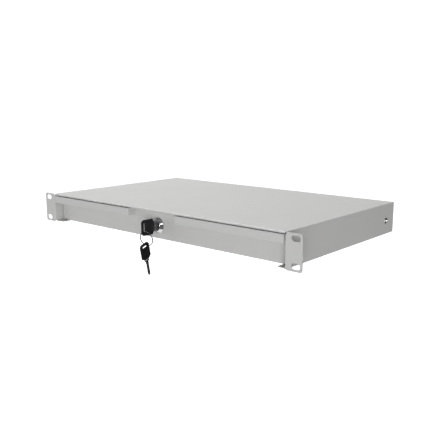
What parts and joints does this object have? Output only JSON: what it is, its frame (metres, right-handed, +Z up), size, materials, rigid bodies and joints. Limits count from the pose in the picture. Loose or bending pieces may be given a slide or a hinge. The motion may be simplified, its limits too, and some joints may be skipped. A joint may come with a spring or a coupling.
{
  "type": "sliding rack drawer",
  "caption": "Lockable one-unit sliding drawer for a 19-inch rack: folded case with slotted ears, ball slides, recessed front with pull lip, key lock, key ring and spare key.",
  "frame": {"origin": "centre of the four rack-ear slots, on the front face of the ears", "axes": "+X to the right along the width, +Y to the back into the rack, +Z up"},
  "size_m": [0.4826, 0.2941, 0.0883],
  "materials": {
    "painted_sheet": "light grey satin powder coat",
    "zinc_plate": "bright zinc plate",
    "cage_steel": "stamped steel strip",
    "ball_steel": "polished steel",
    "screw_nickel": "nickel plate",
    "lock_chrome": "bright chrome",
    "lock_plug_metal": "satin nickel",
    "rubber_black": "soft black rubber",
    "key_plastic": "moulded black plastic",
    "key_nickel": "nickel-plated brass",
    "ring_steel": "spring steel wire"
  },
  "bodies": {
    "housing": {"housing_shell": "painted_sheet", "rear_panel": "painted_sheet", "rear_buffers": "rubber_black", "lock_catch": "zinc_plate", "slide_outer_left": "zinc_plate", "slide_outer_right": "zinc_plate", "slide_screws": "screw_nickel"},
    "drawer": {"drawer_front": "painted_sheet", "front_studs": "zinc_plate", "front_nuts": "zinc_plate", "drawer_tray": "painted_sheet", "tray_front": "painted_sheet", "tray_back": "painted_sheet", "slide_inner_left": "zinc_plate", "slide_inner_right": "zinc_plate", "tray_screws": "screw_nickel", "lock_housing": "lock_chrome", "lock_washer": "zinc_plate", "lock_nut": "lock_chrome"},
    "lock": {"lock_plug": "lock_plug_metal", "lock_cam": "zinc_plate", "cam_washer": "zinc_plate", "cam_screw": "zinc_plate"},
    "key": {"key_bow": "key_plastic", "key_blade": "key_nickel"},
    "ring": {"key_ring": "ring_steel"},
    "spare_key": {"spare_key_bow": "key_plastic", "spare_key_blade": "key_nickel"},
    "middle_left": {"slide_middle_left": "zinc_plate"},
    "outer_cage_left": {"outer_retainer_left": "cage_steel", "outer_balls_left": "ball_steel"},
    "inner_cage_left": {"inner_retainer_left": "cage_steel", "inner_balls_left": "ball_steel"},
    "middle_right": {"slide_middle_right": "zinc_plate"},
    "outer_cage_right": {"outer_retainer_right": "cage_steel", "outer_balls_right": "ball_steel"},
    "inner_cage_right": {"inner_retainer_right": "cage_steel", "inner_balls_right": "ball_steel"}
  },
  "joints": [
    {"name": "drawer_slide", "type": "slide", "parent": "housing", "child": "drawer", "axis": [0, -1, 0], "range_m": [0, 0.2]},
    {"name": "middle_left_slide", "type": "slide", "parent": "housing", "child": "middle_left", "axis": [0, -1, 0], "range_m": [0, 0.1002]},
    {"name": "outer_cage_left_slide", "type": "slide", "parent": "housing", "child": "outer_cage_left", "axis": [0, -1, 0], "range_m": [0, 0.0502]},
    {"name": "inner_cage_left_slide", "type": "slide", "parent": "housing", "child": "inner_cage_left", "axis": [0, -1, 0], "range_m": [0, 0.1502]},
    {"name": "middle_right_slide", "type": "slide", "parent": "housing", "child": "middle_right", "axis": [0, -1, 0], "range_m": [0, 0.1002]},
    {"name": "outer_cage_right_slide", "type": "slide", "parent": "housing", "child": "outer_cage_right", "axis": [0, -1, 0], "range_m": [0, 0.0502]},
    {"name": "inner_cage_right_slide", "type": "slide", "parent": "housing", "child": "inner_cage_right", "axis": [0, -1, 0], "range_m": [0, 0.1502]},
    {"name": "lock_turn", "type": "hinge", "parent": "drawer", "child": "lock", "pos_m": [0, 0.009, -0.00163], "axis": [0, -1, 0], "range_deg": [0, 90]},
    {"name": "key_pull", "type": "slide", "parent": "lock", "child": "key", "axis": [0, -1, 0], "range_m": [0, 0.02]},
    {"name": "ring_swing", "type": "hinge", "parent": "key", "child": "ring", "pos_m": [0, -0.0116, -0.00714], "axis": [0.9576, 0.1758, 0.2281], "range_deg": [-30, 30]},
    {"name": "spare_key_swing", "type": "hinge", "parent": "ring", "child": "spare_key", "pos_m": [-0.00017, -0.00768, -0.02576], "axis": [-0.9541, -0.2565, 0.1546], "range_deg": [-30, 30]}
  ],
  "couplings": [
    {"joint": "middle_left_slide", "follows": "drawer_slide", "ratio": 0.5},
    {"joint": "outer_cage_left_slide", "follows": "drawer_slide", "ratio": 0.25},
    {"joint": "inner_cage_left_slide", "follows": "drawer_slide", "ratio": 0.75},
    {"joint": "middle_right_slide", "follows": "drawer_slide", "ratio": 0.5},
    {"joint": "outer_cage_right_slide", "follows": "drawer_slide", "ratio": 0.25},
    {"joint": "inner_cage_right_slide", "follows": "drawer_slide", "ratio": 0.75}
  ]
}
